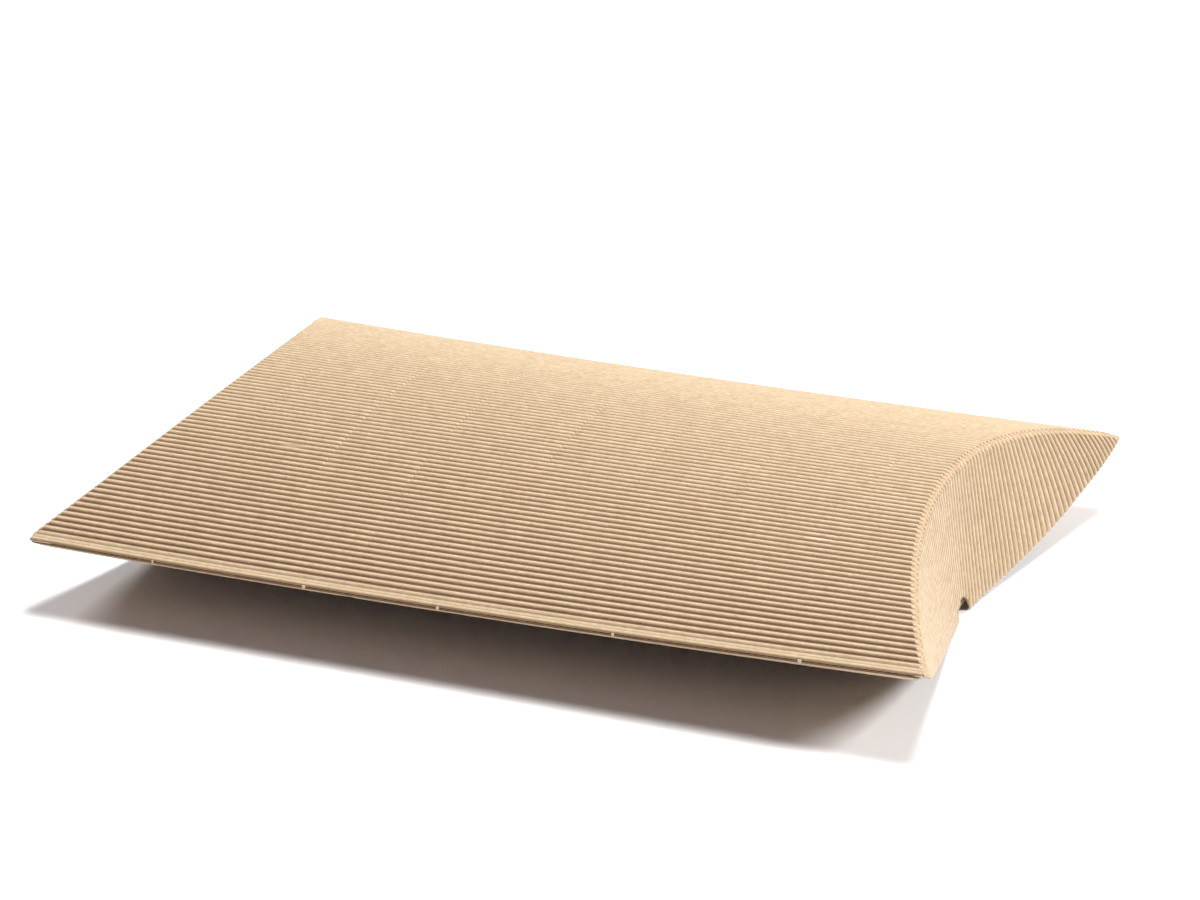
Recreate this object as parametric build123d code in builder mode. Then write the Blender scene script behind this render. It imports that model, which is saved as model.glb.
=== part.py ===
from build123d import *
import math
import os

# Pillow box: one die-cut blank of single-face corrugated kraft board, flutes outside.
# Two bowed panels meet along both long edges: the near edge is a perforated fold, and
# the far edge is glued with a seam tab. Two curved-crease flaps close each end.
# X runs along the flutes and the long edges, Y across them from near to far, Z is up.
# The origin is on the table under the middle of the box, where the belly rests.

# Folded box
box_length = 400.0
box_width = 268.8
panel_rise = 31.3
crease_depth = 35.0

# Single-face board: a flat liner inside, and the fluted medium glued to its outside
liner_thickness = 0.25
medium_thickness = 0.22
flute_height = 1.2
flute_pitch = 3.2
crest_share = 0.25
trough_share = 0.25

# Flutes pressed flat beside the long folds
crushed_width = 6.4
crushed_height = 0.5

# Perforated near fold: a slit crossed by short nicks of board
slit_height = 0.8
nick_length = 3.0
nick_depth = 0.6
nick_pitch = 72.0

# Seam tab, glued inside the lower panel along the far edge
tab_width = 18.0
tab_setback = 12.0
tab_taper = 10.0
glue_thickness = 0.15
glue_inset = 0.02

# Outer flaps, folded down from the upper panel, each with a thumb notch
crease_gap = 0.2
foot_gap = 0.8
outer_tip_trim = 1.5
notch_width = 18.0
notch_depth = 7.5

# Inner flaps, folded up from the lower panel and nested behind the outer ones
nest_gap = 2.0
inner_half_width = 118.0
inner_reach = 30.0
inner_side_length = 3.0

# Cutting tools run past what they cut by this much
overrun = 5.0

half_length = box_length / 2
half_width = box_width / 2

# Each panel is bent to one arc between the long edges
panel_radius = (half_width**2 + panel_rise**2) / (2 * panel_rise)
arc_drop = panel_radius - panel_rise
edge_angle = math.asin(half_width / panel_radius)
crushed_angle = crushed_width / panel_radius

# An odd number of flutes, so that one crest runs along the middle of each panel
fluted_arc = 2 * panel_radius * (edge_angle - crushed_angle)
flute_count = 2 * round((fluted_arc / flute_pitch - 1) / 2) + 1
flute_angle = fluted_arc / panel_radius / flute_count
crest_half_angle = flute_angle * crest_share / 2

# Straight runs of the medium outside a round liner sit this much further out than the round
widest_run = max(crushed_angle, flute_angle)
seat_lift = (panel_radius + liner_thickness) * (1 / math.cos(widest_run / 2) - 1)
board_thickness = liner_thickness + seat_lift + flute_height

# Height of the plane of the long edges above the table, under the flat of the belly's crest
mid_height = (panel_radius + board_thickness) * math.cos(crest_half_angle) - arc_drop

# A crease is the cut of a panel by a slanted plane through the corners, and its flap is
# the mirror image, in that plane, of the panel carried on past the crease.
outer_slope = crease_depth / panel_rise
inner_slope = 1 / outer_slope
inner_setback = board_thickness + nest_gap
inner_crease_depth = inner_slope * panel_rise

# The inner flap's free edge falls away from its middle until only a short side is left
inner_side_rise = math.sqrt(panel_radius**2 - inner_half_width**2) - arc_drop
inner_side_reach = inner_side_length - inner_slope * inner_side_rise
inner_edge_slope = (inner_reach - inner_side_reach) / (panel_rise - inner_side_rise)

# Reach of the outer flap's free edge past the corners, before it is folded down
flap_rake = 2 * outer_slope / (outer_slope**2 + 1)
outer_reach = (panel_rise + mid_height - foot_gap) / flap_rake - crease_depth

# The sketch plane across the box, and the plane of its long edges
across = Plane(origin=(0, 0, mid_height), x_dir=(0, 1, 0), z_dir=(1, 0, 0))
edge_plane = Plane.XY.offset(mid_height)


def on_arc(angle, distance):
    """Point across the box, by angle from the middle and distance from the arc's centre."""
    return (distance * math.sin(angle), distance * math.cos(angle) - arc_drop)


def ring_section(low, high, first_angle, last_angle):
    """Band of the panel's arc between two distances from its centre."""
    start = 90 - math.degrees(last_angle)
    size = math.degrees(last_angle - first_angle)
    with BuildSketch(across) as section:
        with BuildLine():
            CenterArc((0, -arc_drop), low, start, size)
            CenterArc((0, -arc_drop), high, start, size)
            Line(on_arc(first_angle, low), on_arc(first_angle, high))
            Line(on_arc(last_angle, low), on_arc(last_angle, high))
        make_face()
    return section.sketch


def liner_section(side):
    """The liner lies above its panel's arc (side 1) or, before a flap is folded, below it (-1)."""
    faces = sorted((panel_radius, panel_radius + side * liner_thickness))
    return ring_section(faces[0], faces[1], -edge_angle, edge_angle)


def flute_stations(steps):
    """Angle, height and thickness of the medium at each bend, flutes between crushed strips."""
    first = crushed_angle - edge_angle
    stations = [(-edge_angle, 0, crushed_height), (first, 0, crushed_height)]
    for number in range(flute_count):
        for share, crest in steps:
            angle = first + (number + share) * flute_angle
            stations.append((angle, crest * (flute_height - medium_thickness), medium_thickness))
    stations += [(-first, 0, crushed_height), (edge_angle, 0, crushed_height)]
    return stations


def fluting_section(side, steps):
    """The fluted medium, seated on the liner: its liner side out, then its other side back."""
    seat = panel_radius + side * (liner_thickness + seat_lift)
    stations = flute_stations(steps)
    under = [on_arc(angle, seat + side * height) for angle, height, thick in stations]
    over = [on_arc(angle, seat + side * (height + thick)) for angle, height, thick in stations]
    with BuildSketch(across) as section:
        with BuildLine():
            Polyline(*under, *reversed(over), close=True)
        make_face()
    return section.sketch


# Bends of one flute: share of the pitch, and trough (0) or crest (1)
panel_steps = (
    (trough_share / 2, 0),
    (1 / 2 - crest_share / 2, 1),
    (1 / 2 + crest_share / 2, 1),
    (1 - trough_share / 2, 0),
)
outer_flap_steps = ((trough_share / 2, 0), (1 / 2, 1), (1 - trough_share / 2, 0))
inner_flap_steps = ((trough_share / 2, 0), (1 / 2, 1))


def crease_plane(slope, setback, end=1):
    """Slanted plane through a pair of corners, leaning in over the box."""
    return Plane(origin=(end * (half_length - setback), 0, mid_height), z_dir=(end, 0, slope))


def finish(piece, name):
    """Name a piece and write it out."""
    piece.part.label = name
    export_step(piece.part, f"parts/{name}.step")


def make_panel(name, section, slope, setback, lower):
    """A bowed panel layer, drawn as an upper one and turned over for the lower panel."""
    with BuildPart() as panel:
        extrude(section, amount=half_length, both=True)
        split(bisect_by=crease_plane(slope, setback), keep=Keep.BOTTOM)
        split(bisect_by=crease_plane(slope, setback, -1), keep=Keep.BOTTOM)
        split(bisect_by=edge_plane.offset(slit_height / 2), keep=Keep.TOP)
        if lower:
            mirror(about=edge_plane, mode=Mode.REPLACE)
    finish(panel, name)


def free_edge_plane(corner, reach, slope):
    """The plane that cuts a flap's free edge, leaning out over the box, before it is folded."""
    return Plane(origin=(corner + reach, 0, mid_height + panel_rise), z_dir=(1, 0, -slope))


def make_flap(name, section, crease, free_edge, half_span, notched, lower, left):
    """A flap layer: the panel carried on past its crease, cut out, and mirrored in the crease."""
    with BuildPart() as flap:
        extrude(section, amount=half_length + outer_reach + overrun)
        split(bisect_by=crease.offset(crease_gap), keep=Keep.TOP)
        split(bisect_by=free_edge, keep=Keep.BOTTOM)
        for side in (1, -1):
            end = Plane(origin=(0, side * half_span, 0), z_dir=(0, side, 0))
            split(bisect_by=end, keep=Keep.BOTTOM)
        if notched:
            with BuildSketch(edge_plane):
                with Locations((half_length + outer_reach + notch_width / 2 - notch_depth, 0)):
                    Circle(notch_width / 2)
            extrude(amount=panel_rise + overrun, mode=Mode.SUBTRACT)
        mirror(about=crease, mode=Mode.REPLACE)
        if lower:
            mirror(about=edge_plane, mode=Mode.REPLACE)
        if left:
            mirror(about=Plane.YZ, mode=Mode.REPLACE)
    finish(flap, name)


def make_tab_layer(name, depth, thickness):
    """A layer of the seam tab, at a depth inside the lower panel, ending at the upper panel."""
    high = panel_radius - depth
    band = ring_section(high - thickness, high, edge_angle - tab_width / panel_radius, edge_angle)
    root = half_length - tab_setback
    tip = root - tab_taper
    with BuildPart() as layer:
        extrude(band, amount=half_length, both=True)
        with BuildSketch(across):
            with Locations((0, arc_drop)):
                Circle(panel_radius)
        extrude(amount=half_length, both=True, mode=Mode.INTERSECT)
        with BuildSketch(edge_plane):
            with BuildLine():
                Polyline(
                    (-root, half_width),
                    (root, half_width),
                    (tip, half_width - tab_width),
                    (-tip, half_width - tab_width),
                    close=True,
                )
            make_face()
        extrude(amount=panel_rise, both=True, mode=Mode.INTERSECT)
        mirror(about=edge_plane, mode=Mode.REPLACE)
    finish(layer, name)


def make_fold_nicks():
    """Short bridges of board left across the perforated slit of the near edge."""
    nick_count = 2 * int((half_length - tab_setback) / nick_pitch) + 1
    inner_face = half_width - slit_height / 2 / math.tan(edge_angle)
    with BuildPart() as nicks:
        with Locations((0, -inner_face - nick_depth / 2, mid_height)):
            with GridLocations(nick_pitch, nick_depth, nick_count, 1):
                Box(nick_length, nick_depth, slit_height)
    finish(nicks, "fold_nicks")


os.makedirs("parts", exist_ok=True)

panels = (("upper", outer_slope, 0, False), ("lower", inner_slope, inner_setback, True))
for place, slope, setback, lower in panels:
    make_panel(f"{place}_liner", liner_section(1), slope, setback, lower)
    make_panel(f"{place}_fluting", fluting_section(1, panel_steps), slope, setback, lower)

inner_corner = half_length - inner_setback
flaps = (
    (
        "outer_flap",
        outer_flap_steps,
        crease_plane(outer_slope, 0),
        free_edge_plane(half_length, outer_reach, outer_reach / panel_rise),
        half_width - outer_tip_trim,
        True,
        False,
    ),
    (
        "inner_flap",
        inner_flap_steps,
        crease_plane(inner_slope, inner_setback),
        free_edge_plane(inner_corner, inner_reach, inner_edge_slope),
        inner_half_width,
        False,
        True,
    ),
)
for place, steps, *shape in flaps:
    for end, left in (("right", False), ("left", True)):
        make_flap(f"{end}_{place}_liner", liner_section(-1), *shape, left)
        make_flap(f"{end}_{place}_fluting", fluting_section(-1, steps), *shape, left)

tab_layers = (
    ("seam_glue", glue_thickness),
    ("tab_fluting", crushed_height),
    ("tab_liner", liner_thickness),
)
depth = glue_inset
for name, thickness in tab_layers:
    make_tab_layer(name, depth, thickness)
    depth += thickness
make_fold_nicks()

print("flutes on a panel", flute_count, "board", round(board_thickness, 3))
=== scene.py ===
"""The look of a pillow box made from one die-cut blank of single-face fluted kraft board.

Every length below is in millimetres, in the frame of the box: X runs along the flutes, Y across
them from the perforated fold to the glued seam, and Z is up from the table. A place round the
bow of a panel is its arc length from the middle of the panel. The board's surfaces are worked
out as grids of points, and become metres only when they are put into a mesh. The studio is in
metres.
"""

import math

import bpy
import numpy as np
from mathutils import Euler, Matrix, Vector


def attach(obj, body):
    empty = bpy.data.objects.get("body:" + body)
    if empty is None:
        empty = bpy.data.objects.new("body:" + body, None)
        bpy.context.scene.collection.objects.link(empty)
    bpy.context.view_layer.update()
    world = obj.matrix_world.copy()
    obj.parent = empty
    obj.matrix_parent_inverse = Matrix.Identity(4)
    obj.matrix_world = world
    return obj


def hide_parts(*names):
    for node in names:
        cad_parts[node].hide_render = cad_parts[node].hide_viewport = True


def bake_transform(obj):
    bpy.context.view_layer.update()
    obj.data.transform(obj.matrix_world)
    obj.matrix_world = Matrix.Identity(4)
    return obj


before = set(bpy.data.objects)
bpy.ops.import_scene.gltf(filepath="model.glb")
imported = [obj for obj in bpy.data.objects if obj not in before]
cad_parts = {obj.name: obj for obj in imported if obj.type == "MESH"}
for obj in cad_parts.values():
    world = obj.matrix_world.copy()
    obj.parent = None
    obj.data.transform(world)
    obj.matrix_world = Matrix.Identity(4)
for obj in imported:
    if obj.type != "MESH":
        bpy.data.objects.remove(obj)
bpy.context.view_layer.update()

MM = 0.001

# The folded box: its long edges are level, at this middle height over the table
BOX_LENGTH = 400.0
BOX_WIDTH = 268.8
PANEL_RISE = 31.3
CREASE_DEPTH = 35.0
MID_HEIGHT = 32.767

# Single-face board: a flat liner, and a medium glued to its outside, with flutes that are pressed
# flat beside the long edges. BOARD is the solids' thickness, whose straight-sided flutes lie a
# little further out than round ones
LINER = 0.25
MEDIUM = 0.22
BOARD = 1.467
FLUTE_HEIGHT = 1.2
FLUTE_COUNT = 83
CRUSHED_WIDTH = 6.4
# The power that a flute's sine is raised to, which makes its crest broad
FLUTE_POWER = 3.6

# Outer flaps, folded down from the upper panel until they nearly reach the table. The thumb
# notch is a little off the middle
FOOT_GAP = 0.8
OUTER_TIP_TRIM = 1.5
NOTCH_WIDTH = 18.0
NOTCH_DEPTH = 8.5
NOTCH_SHIFT = -3.5

# Inner flaps, folded up from the lower panel and nested behind the outer ones
NEST_GAP = 2.0
INNER_HALF_WIDTH = 118.0
INNER_REACH = 30.0
INNER_SIDE_LENGTH = 3.0

# Seam tab, glued inside the lower panel, with its fluting pressed to this thickness. Each panel
# stops short of the far fold's line by the seam's gap
TAB_WIDTH = 18.0
TAB_SETBACK = 12.0
TAB_TAPER = 10.0
TAB_FLUTING = 0.5
GLUE = 0.15
GLUE_INSET = 0.02
SEAM_GAP = 0.15

# Near fold: a slit, crossed by nicks of board that are a little off their even places. So much
# of a nick's length has held, more in one and less in another
SLIT = 0.8
NICK_LENGTH = 3.0
NICK_PITCH = 72.0
NICK_SCATTER = (5.0, 4.0, -7.0, -2.0, 5.0)
NICK_HELD = 0.4
NICK_UNEVEN = 0.15
NICK_TURN = 3.7
# Heights of a nick's inner and outer side over the liner's inner face, and its bulge outwards
NICK_SIDES = (0.1, 0.6)
NICK_BULGE = 0.45

# Handling leaves the box a little twisted, and curls its four corners up
TWIST = 2.35
CORNER_CURL = 2.3

# Near corners are blunted by the trim, over the run round the bow. Past its flap, the lower
# panel's crease runs out from its setback to the corner gap, from the lap's start over its run
CORNER_TRIM = 1.1
CORNER_RUN = 5.0
CORNER_GAP = 1.0
LAP_START = 2.0
LAP_RUN = 10.0

# A crease presses crests to this share of the flutes' height and fills valleys to that one, and
# is flat for a short way. Then crests rise over the crush run, and valleys empty over the fill
# run, with other runs on a flap
CREASE_CREST = 0.28
CREASE_FLOOR = 0.12
CREASE_FLAT = 0.1
CRUSH_RUN = 0.55
FILL_RUN = 0.3
FLAP_RUN = 0.7
FLAP_FILL = 0.3

# The strips beside the long edges keep this share of the crests, and get a ripple this high
EDGE_CRUSH = 0.2
EDGE_RIPPLE = 0.2

# The knife presses a flap's crests to this share at its free edge, and less over the run inwards.
# Points are close together there, over at most a share of the flap's length
CUT_CRUSH = 0.45
CUT_RUN = 1.6
CUT_SHARE = 0.3

# Faint lines across the flutes, where fingers and the carton's stack have pressed them. Their
# strength is a middle value and a change from place to place
LINE_SPACING = 46.0
LINE_SCATTER = 3.0
LINE_TURN = 2.3
LINE_SLANT = 0.012
LINE_WIDTH = 0.55
LINE_DEPTH = 0.3
LINE_COUNT = 7
LINE_MIDDLE = 0.5
LINE_CHANGE = 1.2

# Unevenness, each kind with its longest and its shortest wave: how far flutes wander sideways,
# the share by which crests differ in height, the share by which a pressed crease's border is
# ragged, and how the faint lines come and go
WANDER = 0.16
WANDER_WAVES = (160.0, 38.0)
UNEVEN = 0.035
UNEVEN_WAVES = (90.0, 17.0)
RAGGED = 0.3
RAGGED_WAVES = (23.0, 4.0)
LINE_WAVES = (60.0, 7.0)
# How many waves are added up, and the radians between their directions and between seeds
WAVE_COUNT = 5
WAVE_TURN = 2.4
SEED_TURN = 1.7
# Seeds for the upper panel and its flaps. The lower ones take the next seed
PANEL_SEED = 1.0
FLAP_SEED = 5.0

# The two ends of an outer flap flare outwards and apart: radians, and places round the bow
FLARE = 0.35
FLARE_ARC = 115.0
FLARE_BOW = 0.35
SPLAY = 0.28
SPLAY_START = 40.0
SPLAY_RUN = 70.0

# How pale the fluting is drawn, from 0 in a valley to 1 on a crest; the material darkens the low
# values as painted shade falling into the valleys, besides the crests' burnish: where a crease has
# filled a valley, in the pressed strips between ripples, in a flap's valleys, on the tab and on a
# nick
FILLED_SHADE = 0.3
STRIP_SHADE = 0.3
FLAP_SHADE = 0.3
TAB_SHADE = 0.4
NICK_SHADE = 0.9

# Painted shade along the board's near edge, where the slit's gap shades it: this much darker, over
# this width and with a fade inside it. A torn nick is rubbed pale
EDGE_SHADE = 0.75
EDGE_SHADE_WIDTH = 0.8
EDGE_SHADE_FADE = 0.6
NICK_RUB = 0.35

# How far from a crease its ticks, painted shade in its wrinkles, reach: on a panel and a flap
PANEL_TICK = 0.9
FLAP_TICK = 3.4

# Two rubs on the upper panel, the first with a crack along it, painted dark as the shade in the
# tear: place along and round, half length, half width, and strength, which is below 0 for a crack
SCUFFS = (
    (-112.0, -56.5, 8.0, 0.7, 0.5),
    (-110.0, -57.6, 5.5, 0.3, -1.7),
    (-112.0, -58.7, 6.0, 0.5, 0.4),
    (134.0, -70.4, 2.4, 0.9, 0.4),
    (139.0, -69.8, 4.0, 0.6, 0.2),
)

# Rows of points: beside a panel's crease, round half of its fold, on a flap, in the pressed
# strip of its free edge, and on a panel's hidden back
CREASE_ROWS = 15
FOLD_ROWS = 4
FLAP_ROWS = 30
CUT_ROWS = 5
BACK_ROWS = 16
# Rows and columns of the seam tab's strips, and of a nick
TAB_GRID = (41, 13)
NICK_GRID = (5, 9)
# Rows over a pressed line or a rub, in its half widths from its middle
OVER_MARK = np.array([-2.0, -1.0, -0.5, 0.0, 0.5, 1.0, 2.0])

HALF_LENGTH = BOX_LENGTH / 2
HALF_WIDTH = BOX_WIDTH / 2
RADIUS = (HALF_WIDTH**2 + PANEL_RISE**2) / (2 * PANEL_RISE)
ARC_DROP = RADIUS - PANEL_RISE
HALF_ARC = RADIUS * math.asin(HALF_WIDTH / RADIUS)
INNER_HALF_ARC = RADIUS * math.asin(INNER_HALF_WIDTH / RADIUS)
FLUTED_HALF_ARC = HALF_ARC - CRUSHED_WIDTH
PITCH = 2 * FLUTED_HALF_ARC / FLUTE_COUNT
# How far each panel's board stops short of the near edge's line, round the bow, which leaves
# the two liners half of the slit's height apart
SLIT_ARC = SLIT / 4 / math.sin(HALF_ARC / RADIUS)
OUTER_SLOPE = CREASE_DEPTH / PANEL_RISE
INNER_SLOPE = 1 / OUTER_SLOPE
INNER_SETBACK = BOARD + NEST_GAP
OUTER_REACH = (PANEL_RISE + MID_HEIGHT - FOOT_GAP) * (OUTER_SLOPE**2 + 1) / (
    2 * OUTER_SLOPE
) - CREASE_DEPTH
TAB_HALF_LENGTH = HALF_LENGTH - TAB_SETBACK


def smooth(t):
    """A step from 0 to 1 with flat ends: 3 t squared less 2 t cubed."""
    t = np.clip(t, 0, 1)
    return t * t * (3 - 2 * t)


def drift(x, arc, seed, waves):
    """A slow unevenness from -1 to 1: the mean of sine waves that slant in different directions,
    each shorter than the one before by the same factor."""
    longest, shortest = waves
    total = np.zeros(np.broadcast(x, arc).shape)
    for k in range(WAVE_COUNT):
        length = longest * (shortest / longest) ** (k / (WAVE_COUNT - 1))
        turn = seed * SEED_TURN + k * WAVE_TURN
        along = x * math.cos(turn) + arc * math.sin(turn)
        total += np.sin(2 * np.pi * along / length + 3 * turn)
    return total / WAVE_COUNT


def rise_at(arc, height):
    """Height over the plane of the long edges of a point on the bow, that far out from its liner."""
    return (RADIUS + height) * np.cos(arc / RADIUS) - ARC_DROP


def on_bow(x, arc, height):
    """A point of the upper panel: along the flutes, round the bow, and out from the liner."""
    y = (RADIUS + height) * np.sin(arc / RADIUS)
    z = rise_at(arc, height) + MID_HEIGHT
    return np.stack(np.broadcast_arrays(x, y, z), -1)


def handled(points):
    """Points moved as handling bends a box: up by a twist, -x y, and a curl of the corners, (x y)
    squared, where x and y are shares of half the length and half the width."""
    share = points[..., 0] / HALF_LENGTH * points[..., 1] / HALF_WIDTH
    moved = points.copy()
    moved[..., 2] += CORNER_CURL * share**2 - TWIST * share
    return moved


def crease_normal(slope):
    """The unit normal of a crease's plane, x + slope * (z - mid height) = corner."""
    return np.array([1.0, 0.0, slope]) / math.hypot(1, slope)


def mirrored(points, corner, slope):
    """Points mirrored in a crease's plane."""
    away = (points[..., 0] - corner + slope * (points[..., 2] - MID_HEIGHT)) / math.hypot(1, slope)
    return points - 2 * away[..., None] * crease_normal(slope)


def rounded(first, middle, last, t):
    """A quadratic curve: (1 - t) squared first, 2 t (1 - t) middle and t squared last."""
    return (1 - t) ** 2 * first + 2 * t * (1 - t) * middle + t**2 * last


def flared(points, arc, past, share, length, corner, slope):
    """Points of a flap turned outwards about the crease, and its two ends spread apart.

    The turn grows as the distance from the middle to the power 1.5, and is more at the crease
    than at the free edge, so that the flutes are a little bowed. The spread starts part of the
    way out. past is the distance past the crease, and share is how much of the turn applies."""
    root = on_bow(corner - slope * rise_at(arc, 0.0), arc, 0.0)
    out = np.abs(arc)
    bowed = 1 + FLARE_BOW * (0.5 - past / length)
    turn = share * FLARE * (out / FLARE_ARC) ** 1.5 * bowed
    spread = share * SPLAY * smooth((out - SPLAY_START) / SPLAY_RUN) * np.sign(arc)
    x, y, z = np.moveaxis(points - root, -1, 0)
    turned = [
        (x * np.cos(turn) - z * np.sin(turn)) * np.cos(spread),
        y + past * np.sin(spread),
        (x * np.sin(turn) + z * np.cos(turn)) * np.cos(spread),
    ]
    return root + np.stack(turned, -1)


def fold(arc, crushed, part, corner, slope, kind):
    """The round of a crease, as a quadratic curve of three points, for part 0 to 1 of the way.

    It starts where the crushed panel meets the crease's plane, ends where the crushed flap does,
    and its middle point is where the two surfaces would meet if they ran straight on."""

    def on_plane(height):
        return on_bow(corner - slope * rise_at(arc, height), arc, height)

    first, last = on_plane(crushed), on_plane(-crushed)
    out = (crushed * math.hypot(1, slope) / slope)[..., None] * crease_normal(slope)
    curve = rounded(first, (first + last) / 2 + out, last, part)
    if kind == "inner":
        return curve
    return flared(curve, arc, 0.0, part[..., 0], 1.0, corner, slope)


def wave(arc):
    """A flute: 1 less the size of the sine of half a turn a pitch, raised to a power."""
    return 1 - np.abs(np.sin(np.pi * arc / PITCH)) ** FLUTE_POWER


def line_places(seed):
    """Where the pressed lines cross the middle of a panel: evenly spaced, with a small scatter."""
    number = np.arange(LINE_COUNT) - (LINE_COUNT - 1) / 2
    return number * LINE_SPACING + LINE_SCATTER * np.sin(LINE_TURN * number + seed)


def press(x, arc, from_crease, seed, runs):
    """Shares of the flutes' height that crests and valleys keep, by the creases and long edges.

    A crease presses the crests down and fills the valleys, so that both end at nearly one level.
    The long edges and the faint lines press the crests alone, and a line is a bell curve that
    comes and goes along its length."""
    ragged = 1 + RAGGED * drift(x, arc, seed + 3, RAGGED_WAVES)
    rise, fall = [smooth((from_crease - CREASE_FLAT) / (run * ragged)) for run in runs]
    crest = CREASE_CREST + (1 - CREASE_CREST) * rise
    filled = 1 - fall
    in_strip = 1 - smooth((FLUTED_HALF_ARC - np.abs(arc)) / PITCH + 1)
    lines = np.zeros(np.broadcast(x, arc).shape)
    for k, place in enumerate(line_places(seed)):
        change = LINE_CHANGE * drift(x, arc, seed + k, LINE_WAVES)
        strength = np.clip(LINE_MIDDLE + change, 0, 1)
        lines += strength * np.exp(-(((x - place - LINE_SLANT * arc) / LINE_WIDTH) ** 2))
    crest = crest * (1 - (1 - EDGE_CRUSH) * in_strip)
    crest *= (1 - LINE_DEPTH * lines) * (1 + UNEVEN * drift(x, arc, seed, UNEVEN_WAVES))
    return crest, CREASE_FLOOR * filled * (1 - in_strip), filled, in_strip


def board_heights(x, arc, from_crease, seed, runs, to_cut):
    """Height over the liner's inner face of the medium's inner and outer side, and its shading.

    The height is valley + (crest - valley) times the wave, and a ripple of half the pitch in the
    pressed strips. The shading is the wave, paler where a crease fills the valleys."""
    wobble = WANDER * drift(x, arc, seed + 1, WANDER_WAVES)
    ribs = wave(arc + wobble)
    crest, valley, filled, in_strip = press(x, arc, from_crease, seed, runs)
    crest = crest * (CUT_CRUSH + (1 - CUT_CRUSH) * smooth(to_cut / CUT_RUN))
    ripple = wave(2 * arc + wobble)
    lift = (FLUTE_HEIGHT - MEDIUM) * (valley + (crest - valley) * ribs)
    lift += EDGE_RIPPLE * in_strip * ripple
    # The shading is painted into the valleys as shade, less where a crease has filled them
    shading = ribs + (1 - ribs) * FILLED_SHADE * filled
    shading += in_strip * (STRIP_SHADE + (1 - STRIP_SHADE) * ripple - shading)
    return LINER + lift, LINER + MEDIUM + lift, shading


def layer_heights(x, arc, d, seed, layer, runs=(CRUSH_RUN, FILL_RUN), to_cut=CUT_RUN):
    """Inner and outer height of the liner, which is flat, or of the medium, and its shading."""
    inner, outer, ribs = board_heights(x, arc, d, seed, runs, to_cut)
    if layer == "liner":
        return np.zeros_like(inner), np.full_like(inner, LINER), np.zeros_like(inner)
    return inner, outer, ribs


def free_edge(arc, kind):
    """How far past the crease the flap's board runs, before it is folded, at a place round the bow.

    The free edge is the cut of the bow by a plane, so its reach grows with the bow's height; a
    circle takes the thumb notch out of the outer flap's edge, a little off the middle."""
    rise = rise_at(arc, 0.0)
    if kind == "inner":
        side_rise = rise_at(INNER_HALF_WIDTH, 0.0)
        side_reach = INNER_SIDE_LENGTH - INNER_SLOPE * side_rise
        slope = (INNER_REACH - side_reach) / (PANEL_RISE - side_rise)
        return INNER_REACH + slope * (rise - PANEL_RISE) + INNER_SLOPE * rise
    reach = OUTER_REACH / PANEL_RISE * rise
    y = RADIUS * np.sin(arc / RADIUS) - NOTCH_SHIFT
    centre = OUTER_REACH + NOTCH_WIDTH / 2 - NOTCH_DEPTH
    chord = np.sqrt(np.maximum((NOTCH_WIDTH / 2) ** 2 - y**2, 0))
    notched = np.where(chord > 0, np.minimum(reach, centre - chord), reach)
    return notched + OUTER_SLOPE * rise


def columns(per_flute, first, last):
    """Places round the bow, evenly spaced, so many to a flute."""
    count = int(round((last - first) / PITCH * per_flute)) + 1
    return np.linspace(first, last, count)[None, :]


def corner_at(arc, kind):
    """Where a crease's plane crosses the plane of the long edges, blunted at the near corners.

    The lower one is set back so that its flap nests, but past that flap it runs out to the
    shared corner."""
    corner = HALF_LENGTH - CORNER_TRIM * smooth((-arc - HALF_ARC) / CORNER_RUN + 1)
    if kind == "outer":
        return corner
    past_flap = RADIUS * np.sin(np.abs(arc) / RADIUS) - INNER_HALF_WIDTH
    run_out = smooth((past_flap - LAP_START) / LAP_RUN)
    return corner - INNER_SETBACK + (INNER_SETBACK - CORNER_GAP) * run_out


def panel_grids(arc, corner, slope, seed, kind, middle_rows, layer, places):
    """Inner and outer grid of a panel's liner or medium, with its shading, its places along the
    box and its distance from a crease.

    Rows run from the left crease's fold to the right one's. They are close together by the
    creases, where the board is pressed, and at the pressed lines and the marks in places, and far
    apart elsewhere."""
    near = 2 * CRUSH_RUN * np.linspace(0, 1, CREASE_ROWS)[:, None] ** 1.5
    reach = corner - slope * rise_at(arc, LINER + MEDIUM)
    limit = reach.min() - near[-1, 0]
    spread = np.linspace(-1, 1, middle_rows + 2)[1:-1] * limit
    if layer == "medium":
        lines = line_places(seed)[:, None] + LINE_WIDTH * OVER_MARK
        rubs = [at_x + length * OVER_MARK[::2] for at_x, _, length, _, _ in places]
        spread = np.concatenate([spread, lines.ravel(), *rubs])
    share = np.unique(np.clip(spread, -limit, limit))[:, None] / limit
    # Rows spread out towards the corners, and keep their straight course in the middle
    middle = share * limit + share**3 * (reach - reach.min())
    x = np.concatenate([near - reach, middle, reach - near[::-1]])
    d = reach - np.abs(x)
    inner, outer, ribs = layer_heights(x, arc, d, seed, layer)
    if layer == "medium":
        inner = np.full_like(inner, LINER)
    half = np.linspace(0, 0.5, FOLD_ROWS)[1:, None, None]
    grids = []
    for height in (inner, outer):
        body = on_bow(x, arc, height)
        # Each row by the crease starts from where its own crushed height meets the crease's plane
        shift = (corner - slope * rise_at(arc, height[-1:])) - x[-1:]
        body[..., 0] += np.sign(x) * shift * (1 - smooth(d / (2 * CRUSH_RUN)))
        right = fold(arc, height[-1:], half, corner, slope, kind)
        left = fold(arc, height[:1], half, corner, slope, kind)[::-1] * np.array([-1.0, 1.0, 1.0])
        grids.append(np.concatenate([left, body, right]))
    pad = ((len(half), len(half)), (0, 0))
    return (*grids, np.pad(ribs, pad, mode="edge"), np.pad(x, pad, mode="edge"), np.pad(d, pad))


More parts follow.
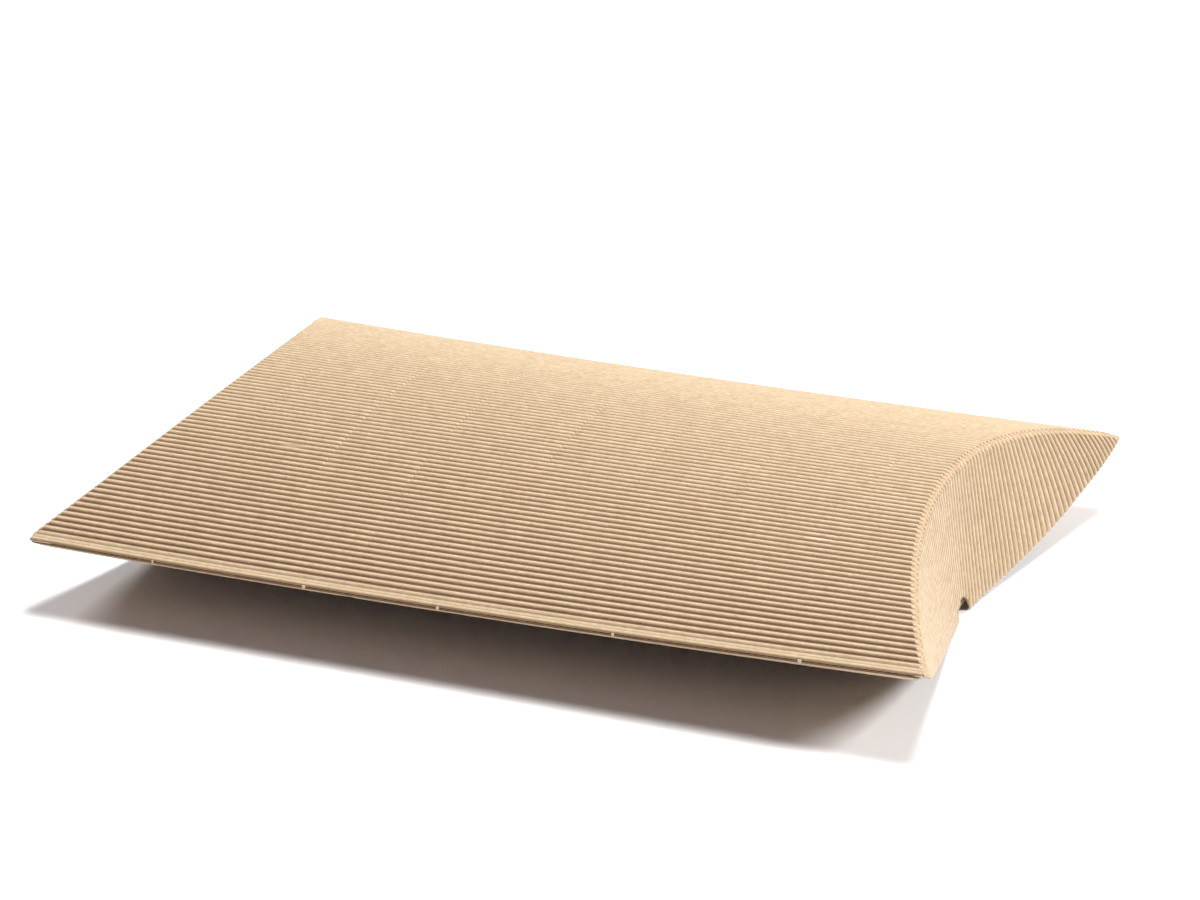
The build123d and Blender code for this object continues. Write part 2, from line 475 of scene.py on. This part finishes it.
def flap_grids(arc, corner, slope, seed, kind, layer):
    """Inner and outer grid of a flap's liner or medium: the panel carried on past the crease.

    Rows run from the middle of the fold to the free edge, and the result is mirrored in the
    crease's plane, which lays the flap down. Its shading, its places along the box and its
    distance from the crease come with it."""
    length = free_edge(arc, kind)
    cut = np.minimum(CUT_RUN, CUT_SHARE * length) * np.linspace(1, 0, CUT_ROWS)[:, None]
    d = (length - cut[:1]) * np.linspace(0, 1, FLAP_ROWS)[:-1, None] ** 2
    d = np.concatenate([d, length - cut])
    x = d + corner - slope * rise_at(arc, -LINER - MEDIUM)
    inner, outer, ribs = layer_heights(x, arc, d, seed, layer, (FLAP_RUN, FLAP_FILL), length - d)
    # A flap's valleys get weaker painted shade
    ribs = 1 - (1 - FLAP_SHADE) * (1 - ribs)
    half = np.linspace(0.5, 1, FOLD_ROWS)[:-1, None, None]
    grids = []
    for height in (inner, outer):
        start = corner - slope * rise_at(arc, -height[:1])
        end = corner - slope * rise_at(arc, 0.0) + length
        body = on_bow(start + (end - start) * d / length, arc, -height)
        body = mirrored(body, corner, slope)
        if kind == "outer":
            body = flared(body, arc, d, 1.0, length, corner, slope)
        grids.append(np.concatenate([fold(arc, height[:1], half, corner, slope, kind), body]))
    pad = ((len(half), 0), (0, 0))
    return (*grids, np.pad(ribs, pad, mode="edge"), np.pad(x, pad, mode="edge"), np.pad(d, pad))


def shell(inner, outer, plain_back):
    """Points and faces of a closed shell between two grids: front, back and border wall.

    With a plain back, the inner side has only a few of the rows, because nothing shows it, and
    the walls of the long sides are polygons from one of those rows to the next."""
    rows, cols = outer.shape[:2]
    index = np.arange(rows * cols).reshape(rows, cols)
    if plain_back:
        kept = np.unique(np.linspace(0, rows - 1, BACK_ROWS).astype(int))
        inner = inner[kept]
    under = rows * cols + np.arange(inner.shape[0] * cols).reshape(-1, cols)
    points = np.concatenate([outer.reshape(-1, 3), inner.reshape(-1, 3)])

    def quads(a, b, c, d):
        return np.stack([a, b, c, d], -1).reshape(-1, 4)

    front = quads(index[:-1, :-1], index[1:, :-1], index[1:, 1:], index[:-1, 1:])
    back = quads(under[:-1, 1:], under[1:, 1:], under[1:, :-1], under[:-1, :-1])
    first = quads(index[0, :-1], index[0, 1:], under[0, 1:], under[0, :-1])
    last = quads(index[-1, 1:], index[-1, :-1], under[-1, :-1], under[-1, 1:])
    sides = []
    if plain_back:
        for k, (low, high) in enumerate(zip(kept[:-1], kept[1:])):
            near, far = index[low : high + 1, 0], index[low : high + 1, -1]
            sides.append(np.concatenate([near[::-1], under[k : k + 2, 0]]))
            sides.append(np.concatenate([far, under[k : k + 2, -1][::-1]]))
        walls = np.concatenate([first, last])
    else:
        near = quads(index[1:, 0], index[:-1, 0], under[:-1, 0], under[1:, 0])
        far = quads(index[:-1, -1], index[1:, -1], under[1:, -1], under[:-1, -1])
        walls = np.concatenate([first, last, near, far])
    return points, np.concatenate([front, back]), walls, sides


def sheet(name, patches, lower=False, left=False, plain_back=False):
    """A piece of board from patches of (inner grid, outer grid, marks).

    marks are numbers for each grid point that the materials read, the same on both sides of the
    paper unless its back is plain. The lower panel is turned over from an upper one, and the left
    end is mirrored from the right one."""
    flip = np.array([-1.0 if left else 1.0, 1.0, -1.0 if lower else 1.0])
    place = np.array([0.0, 0.0, 2 * MID_HEIGHT if lower else 0.0])
    points, loops, sizes, smooths = [], [], [], []
    values = {}
    start = 0
    for inner, outer, marks in patches:
        own, rounds, walls, sides = shell(inner, outer, plain_back)
        # Faces point inwards if x, summed over them by their area towards x, is below 0
        corners = own[rounds] * flip
        fan = np.cross(corners[:, 1], corners[:, 2]) + np.cross(corners[:, 2], corners[:, 3])
        step = -1 if (corners[:, 0] * fan).sum() < 0 else 1
        for faces, is_smooth in ((rounds, True), (walls, False)):
            loops.append((faces[:, ::step] + start).ravel())
            sizes.append(np.full(len(faces), 4))
            smooths.append(np.full(len(faces), is_smooth))
        for side in sides:
            loops.append(side[::step] + start)
            sizes.append([len(side)])
            smooths.append([False])
        for key, numbers in marks.items():
            behind = np.zeros(len(own) - numbers.size)
            if not plain_back:
                behind = numbers.ravel()
            values.setdefault(key, []).append(np.concatenate([numbers.ravel(), behind]))
        points.append(own)
        start += len(own)
    points = handled(np.concatenate(points) * flip + place)
    loops, sizes = np.concatenate(loops), np.concatenate(sizes)
    mesh = bpy.data.meshes.new(name)
    mesh.vertices.add(len(points))
    mesh.vertices.foreach_set("co", (points * MM).ravel())
    mesh.loops.add(len(loops))
    mesh.loops.foreach_set("vertex_index", loops.astype(np.int32))
    mesh.polygons.add(len(sizes))
    mesh.polygons.foreach_set("loop_start", (np.cumsum(sizes) - sizes).astype(np.int32))
    mesh.update(calc_edges=True)
    mesh.polygons.foreach_set("use_smooth", np.concatenate(smooths))
    for key, numbers in values.items():
        attribute = mesh.attributes.new(key, "FLOAT", "POINT")
        attribute.data.foreach_set("value", np.concatenate(numbers).astype(np.float32))
    mesh.validate()
    piece = bpy.data.objects.new(name, mesh)
    bpy.context.scene.collection.objects.link(piece)
    return piece


def linear(hex_colour):
    """An sRGB colour such as #C9A06C as linear red, green, blue and alpha."""
    parts = [int(hex_colour[k : k + 2], 16) / 255 for k in (1, 3, 5)]
    return (*[p / 12.92 if p <= 0.04045 else ((p + 0.055) / 1.055) ** 2.4 for p in parts], 1.0)


def add(tree, kind, settings=None, **sockets):
    """Adds a node to a tree, with its settings, and its sockets set to values or to outputs.

    A socket's name has spaces for underscores, or is its number after the letters in."""
    node = tree.nodes.new(kind)
    for key, value in (settings or {}).items():
        setattr(node, key, value)
    for key, value in sockets.items():
        socket = node.inputs[int(key[2:]) if key[2:].isdigit() else key.replace("_", " ")]
        if isinstance(value, bpy.types.NodeSocket):
            tree.links.new(value, socket)
        else:
            socket.default_value = value
    return node


# Kraft paper, in millimetres: its fibres, which are 0.03 wide and are drawn wider so that they
# show, the cloudiness of its formation, the grain of its felt and the depth of that, and the
# spacing of its shives through the sheet, which leaves about one every 30 on its surface
FIBRE_LENGTH = 2.5
FIBRE_WIDTH = 0.25
CLOUD = 6.0
GRAIN = 0.5
FELT_DEPTH = 0.05
SHIVE_SPACING = 9.0
# Ticks across a pressed crease: how far each slants round the bow for a step along the flute
TICK_SLANT = 0.6


def kraft_paper(name, base, pale, dark, fluted, bump):
    """Unbleached kraft paper, made on a Fourdrinier machine from long softwood fibres.

    To the eye it is a matt warm brown with a felt of fine paler and darker fibres along the
    machine direction, cloudy formation a few millimetres across, and a few shives. On the fluted
    side the crests are burnished paler by handling, and the valleys are painted darker
    as the shade that falls between the flutes. Its surface fibres give it a pale bloom when it is
    seen at a low angle."""
    material = bpy.data.materials.new(name)
    material.use_nodes = True
    tree = material.node_tree
    tree.nodes.clear()
    place = add(tree, "ShaderNodeTexCoord").outputs["Object"]
    keys = ("around", "run", "crest", "crease", "scuffs_and_slit_shade") if fluted else ("around", "run")
    marks = {
        key: add(tree, "ShaderNodeAttribute", {"attribute_name": key}).outputs["Fac"] for key in keys
    }
    # Place on the flat sheet, in millimetres: the machine direction is along the flutes
    flat = add(tree, "ShaderNodeCombineXYZ", X=marks["run"], Y=marks["around"]).outputs[0]
    strands = add(
        tree, "ShaderNodeMapping", Vector=flat, Scale=(1 / FIBRE_LENGTH, 1 / FIBRE_WIDTH, 1.0)
    ).outputs[0]
    fibre = add(tree, "ShaderNodeTexNoise", Vector=strands, Scale=1.0, Detail=3.0).outputs["Fac"]
    cloud = add(
        tree, "ShaderNodeTexNoise", Vector=place, Scale=1 / (CLOUD * MM), Detail=4.0, Roughness=0.6
    ).outputs["Fac"]
    grain = add(
        tree, "ShaderNodeTexNoise", Vector=place, Scale=1 / (GRAIN * MM), Detail=2.0
    ).outputs["Fac"]
    # Shives: unpulped bundles, dark flecks under a millimetre long
    shive = add(
        tree, "ShaderNodeTexVoronoi", Vector=place, Scale=1 / (SHIVE_SPACING * MM)
    ).outputs["Distance"]
    # Each layer: what it follows, where that starts and ends, strength, colour and blend
    layers = [
        (fibre, 0.52, 0.75, 1.0, pale, "MIX"),
        (fibre, 0.52, 0.30, 1.0, dark, "MIX"),
        (cloud, 0.70, 0.30, 0.8, "#E9E2D8", "MULTIPLY"),
        (shive, 0.038, 0.033, 0.55, "#6E4F30", "MIX"),
    ]
    if fluted:
        # Dark ticks of painted shade in a pressed crease's wrinkles, slanting, half a flute apart
        slant = add(
            tree, "ShaderNodeMath", {"operation": "MULTIPLY_ADD"}, in0=marks["run"],
            in1=TICK_SLANT, in2=marks["around"],
        ).outputs[0]
        turns = add(
            tree, "ShaderNodeMath", {"operation": "MULTIPLY"}, in0=slant, in1=4 * math.pi / PITCH
        ).outputs[0]
        stripe = add(tree, "ShaderNodeMath", {"operation": "SINE"}, in0=turns).outputs[0]
        tick_shade = add(
            tree, "ShaderNodeMath", {"operation": "MULTIPLY"}, in0=stripe, in1=marks["crease"]
        ).outputs[0]
        layers += [
            # Painted shade in the valleys, deep and saturated, and the crests' real burnish, from
            # the shading
            (marks["crest"], 0.65, 0.0, 1.0, "#985F16", "MULTIPLY"),
            (marks["crest"], 0.98, 0.3, 0.7, "#E2D2B8", "MULTIPLY"),
            # Ticks of painted shade in a pressed crease's wrinkles
            (tick_shade, 0.3, 0.8, 0.5, "#7A5A38", "MIX"),
            (marks["scuffs_and_slit_shade"], 0.1, 1.0, 1.0, "#F6E7CF", "MIX"),
            # Dark: the cracks' painted shade, and painted shade along the slit's edge
            (marks["scuffs_and_slit_shade"], -0.3, -1.0, 0.9, "#5E4226", "MIX"),
        ]
    colour = linear(base)
    for source, first, last, strength, tone, blend in layers:
        share = add(
            tree, "ShaderNodeMapRange", Value=source, From_Min=first, From_Max=last, To_Max=strength
        ).outputs[0]
        colour = add(
            tree, "ShaderNodeMix", {"data_type": "RGBA", "blend_type": blend}, in0=share,
            in6=colour, in7=linear(tone),
        ).outputs[2]
    relief = add(tree, "ShaderNodeMath", {"operation": "ADD"}, in0=fibre, in1=grain).outputs[0]
    bumps = add(
        tree, "ShaderNodeBump", Strength=bump, Distance=FELT_DEPTH * MM, Height=relief
    ).outputs[0]
    rough = add(
        tree, "ShaderNodeMapRange", Value=relief, From_Min=0.7, From_Max=1.3, To_Min=0.68,
        To_Max=0.58,
    ).outputs[0]
    shader = add(
        tree, "ShaderNodeBsdfPrincipled", Base_Color=colour, Normal=bumps, Roughness=rough,
        Specular_IOR_Level=0.5, Sheen_Weight=0.4, Sheen_Roughness=0.3,
        Sheen_Tint=linear("#E6ECFF"),
    )
    add(tree, "ShaderNodeOutputMaterial", Surface=shader.outputs[0])
    return material


def matt(name, colour, tone, patch, depth, roughness, bump):
    """An even matt surface, mottled towards a second tone in patches that are so large and deep."""
    material = bpy.data.materials.new(name)
    material.use_nodes = True
    tree = material.node_tree
    tree.nodes.clear()
    place = add(tree, "ShaderNodeTexCoord").outputs["Object"]
    mottle = add(
        tree, "ShaderNodeTexNoise", Vector=place, Scale=1 / (patch * MM), Detail=3.0
    ).outputs["Fac"]
    blended = add(
        tree, "ShaderNodeMix", {"data_type": "RGBA"}, in0=mottle, in6=linear(colour),
        in7=linear(tone),
    ).outputs[2]
    bumps = add(
        tree, "ShaderNodeBump", Strength=bump, Distance=depth * MM, Height=mottle
    ).outputs[0]
    shader = add(
        tree, "ShaderNodeBsdfPrincipled", Base_Color=blended, Normal=bumps, Roughness=roughness
    )
    add(tree, "ShaderNodeOutputMaterial", Surface=shader.outputs[0])
    return material


fluting_paper = kraft_paper(
    "kraft_fluting_medium", "#AF9C7F", "#BEAC8E", "#9E8969", fluted=True, bump=0.5
)
liner_paper = kraft_paper(
    "kraft_linerboard", "#A98C66", "#B79C76", "#94774E", fluted=False, bump=0.35
)

# White vinyl glue, rolled on and dried to a slightly glossy, milky film
dried_glue = matt(
    "dried_white_glue", "#DED4C0", "#CDBFA6", patch=3.0, depth=0.1, roughness=0.35, bump=0.3
)
# White card, coated and matt, with a trace of grain
white_card = matt(
    "white_card", "#F4F3F2", "#F2F1F1", patch=0.5, depth=0.1, roughness=0.9, bump=0.05
)


def finish_piece(piece, material, nodes):
    """Gives a piece its material, and hides the CAD nodes that it stands for."""
    piece.data.materials.append(material)
    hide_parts(*nodes)


def scuffs(x, arc, places):
    """Pale rubs, and dark cracks whose colour is painted shade in the tear, along the flutes: a sum
    of strength times a bell curve along and a narrower one across."""
    mark = np.zeros(np.broadcast(x, arc).shape)
    for at_x, at_arc, length, width, strength in places:
        mark += strength * np.exp(-(((x - at_x) / length) ** 2) - (((arc - at_arc) / width) ** 2))
    return np.clip(mark, -1, 1)


def board_marks(ribs, x, arc, d, tick_reach, places=()):
    """What the papers' materials read: the valleys' painted shading, place, nearness to a crease
    for its ticks of painted shade, and scuffs, with the cracks' and the slit edge's painted shade."""
    around = np.broadcast_to(arc, ribs.shape)
    # Painted shade along the near edge, where the slit's gap shades the board
    slit_edge_shade = smooth((SLIT_ARC - HALF_ARC + EDGE_SHADE_WIDTH - around) / EDGE_SHADE_FADE)
    return {
        "crest": ribs,
        "around": around,
        "run": np.broadcast_to(x, ribs.shape),
        "crease": 1 - smooth(d / tick_reach),
        "scuffs_and_slit_shade": scuffs(x, arc, places) - EDGE_SHADE * slit_edge_shade,
    }


# The board's two papers: each one's name, its name in the CAD, columns to a flute, rows in a
# panel's middle, and material
PAPERS = (
    ("liner", "liner", 1.0, 12, liner_paper),
    ("medium", "fluting", 8.0, 14, fluting_paper),
)

for place, kind, slope, lower, places in (
    ("upper", "outer", OUTER_SLOPE, False, SCUFFS),
    ("lower", "inner", INNER_SLOPE, True, ()),
):
    for layer, node, per_flute, middle_rows, material in PAPERS:
        arc = columns(per_flute, SLIT_ARC - HALF_ARC, HALF_ARC - SEAM_GAP)
        inner, outer, ribs, x, d = panel_grids(
            arc, corner_at(arc, kind), slope, PANEL_SEED + lower, kind, middle_rows, layer, places
        )
        marks = board_marks(ribs, x, arc, d, PANEL_TICK, places)
        piece = sheet(
            f"{place}_panel_{layer}", [(inner, outer, marks)], lower, False, layer == "medium"
        )
        finish_piece(piece, material, [f"{place}_{node}"])
        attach(piece, "box")

for kind, slope, setback, half_arc, lower in (
    ("outer", OUTER_SLOPE, 0.0, HALF_ARC - OUTER_TIP_TRIM, False),
    ("inner", INNER_SLOPE, INNER_SETBACK, INNER_HALF_ARC, True),
):
    for layer, node, per_flute, _, material in PAPERS:
        arc = columns(per_flute, -half_arc, half_arc)
        corner = corner_at(arc, kind)
        seed = FLAP_SEED + lower
        inner, outer, ribs, x, d = flap_grids(arc, corner, slope, seed, kind, layer)
        marks = board_marks(ribs, x, arc, d, FLAP_TICK)
        for end, sign in (("right", 1), ("left", -1)):
            body = f"{end}_{kind}_flap"
            piece = sheet(f"{body}_{layer}_paper", [(inner, outer, marks)], lower, end == "left")
            finish_piece(piece, material, [f"{body}_{node}"])
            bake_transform(piece)

# The seam tab runs round the far fold from the upper panel and is glued inside the lower one
glue_depth = GLUE_INSET + GLUE
fluting_depth = glue_depth + TAB_FLUTING
for name, near, far, material, slot in (
    ("seam_glue", GLUE_INSET, glue_depth, dried_glue, "glue"),
    ("tab_fluting", glue_depth, fluting_depth, fluting_paper, "medium"),
    ("tab_liner", fluting_depth, fluting_depth + LINER, liner_paper, "liner"),
):
    arc = np.linspace(HALF_ARC - TAB_WIDTH, HALF_ARC - far, TAB_GRID[1])[None, :]
    taper = TAB_TAPER * (HALF_WIDTH - RADIUS * np.sin(arc / RADIUS)) / TAB_WIDTH
    x = np.linspace(-1, 1, TAB_GRID[0])[:, None] * (TAB_HALF_LENGTH - taper)
    grids = [on_bow(x, arc, np.full_like(x, -depth)) for depth in (far, near)]
    from_crease = np.full_like(x, TAB_HALF_LENGTH)
    marks = board_marks(np.full_like(x, TAB_SHADE), x, arc, from_crease, PANEL_TICK)
    piece = sheet(f"{name}_strip", [(*grids, marks)], lower=True)
    finish_piece(piece, material, [name])
    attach(piece, "box")

# Nicks: short bridges of board across the slit of the near fold, torn a little unevenly. Each is
# a quadratic curve from the upper panel's edge to the lower one's
patches = []
part = np.linspace(0, 1, NICK_GRID[1])[None, :]
for number, scatter in enumerate(NICK_SCATTER, start=-2):
    half = NICK_LENGTH / 2 * (NICK_HELD + NICK_UNEVEN * math.sin(NICK_TURN * number))
    x = np.linspace(-half, half, NICK_GRID[0])[:, None] + number * NICK_PITCH + scatter
    grids = []
    for height in NICK_SIDES:
        above = on_bow(x, SLIT_ARC - HALF_ARC, height)
        bulge = np.array([0.0, -NICK_BULGE - height / 2, MID_HEIGHT])
        middle = above * np.array([1.0, 1.0, 0.0]) + bulge
        below = above * np.array([1.0, 1.0, -1.0]) + np.array([0.0, 0.0, 2 * MID_HEIGHT])
        grids.append(rounded(above, middle, below, part[..., None]))
    ribs = np.full(grids[0].shape[:2], NICK_SHADE)
    marks = board_marks(ribs, x, part, np.full_like(ribs, TAB_HALF_LENGTH), PANEL_TICK)
    patches.append((*grids, marks | {"scuffs_and_slit_shade": np.full_like(ribs, NICK_RUB)}))
nicks = sheet("fold_nick_bridges", patches)
finish_piece(nicks, fluting_paper, ["fold_nicks"])
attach(nicks, "box")

# The studio, in metres: a white sweep of card under and behind the box, lit by softboxes in a
# white room. The camera's angles are about X, then Y, then Z, in degrees from straight down
CARD_SIZE = 12.0
ROOM_LIGHT = 0.22
CAMERA_PLACE = (0.6060, -1.3511, 0.6669)
CAMERA_ANGLES = (67.3825, 1.2875, 23.3771)
CAMERA_LENS = 111.4
CAMERA_SENSOR = 36.0

bpy.ops.mesh.primitive_plane_add(size=CARD_SIZE, location=(0, 0, 0))
floor = bpy.context.object
floor.name = "floor"
floor.data.materials.append(white_card)

world = bpy.data.worlds.new("white_studio")
bpy.context.scene.world = world
world.use_nodes = True
room = world.node_tree.nodes["Background"]
room.inputs["Color"].default_value = linear("#F0E4F0")
room.inputs["Strength"].default_value = ROOM_LIGHT


def lamp(name, place, target, size, watts):
    """A square softbox, turned to face its target."""
    light = bpy.data.lights.new(name, "AREA")
    light.size = size
    light.energy = watts
    holder = bpy.data.objects.new(name, light)
    holder.location = place
    holder.rotation_euler = (Vector(target) - Vector(place)).to_track_quat("-Z", "Y").to_euler()
    bpy.context.scene.collection.objects.link(holder)


lamp("overhead_softbox", (0.22, 0.3, 2.2), target=(0, 0, 0), size=0.8, watts=74.0)
lamp("right_softbox", (1.8, 0.4, 1.2), target=(0, 0, 0), size=0.6, watts=50.0)
lamp("left_softbox", (-1.6, 0.2, 1.5), target=(0, 0, 0), size=0.8, watts=19.0)
lamp("backdrop_glow", (-0.5, 2.4, 0.9), target=(0, 0, 0.05), size=2.2, watts=8.0)

camera = bpy.data.objects.new("camera", bpy.data.cameras.new("camera"))
camera.data.sensor_width = CAMERA_SENSOR
camera.data.lens = CAMERA_LENS
turned = Euler([math.radians(angle) for angle in CAMERA_ANGLES])
camera.matrix_world = Matrix.Translation(CAMERA_PLACE) @ turned.to_matrix().to_4x4()
bpy.context.scene.collection.objects.link(camera)
bpy.context.scene.camera = camera
bpy.context.scene.view_settings.view_transform = "Standard"
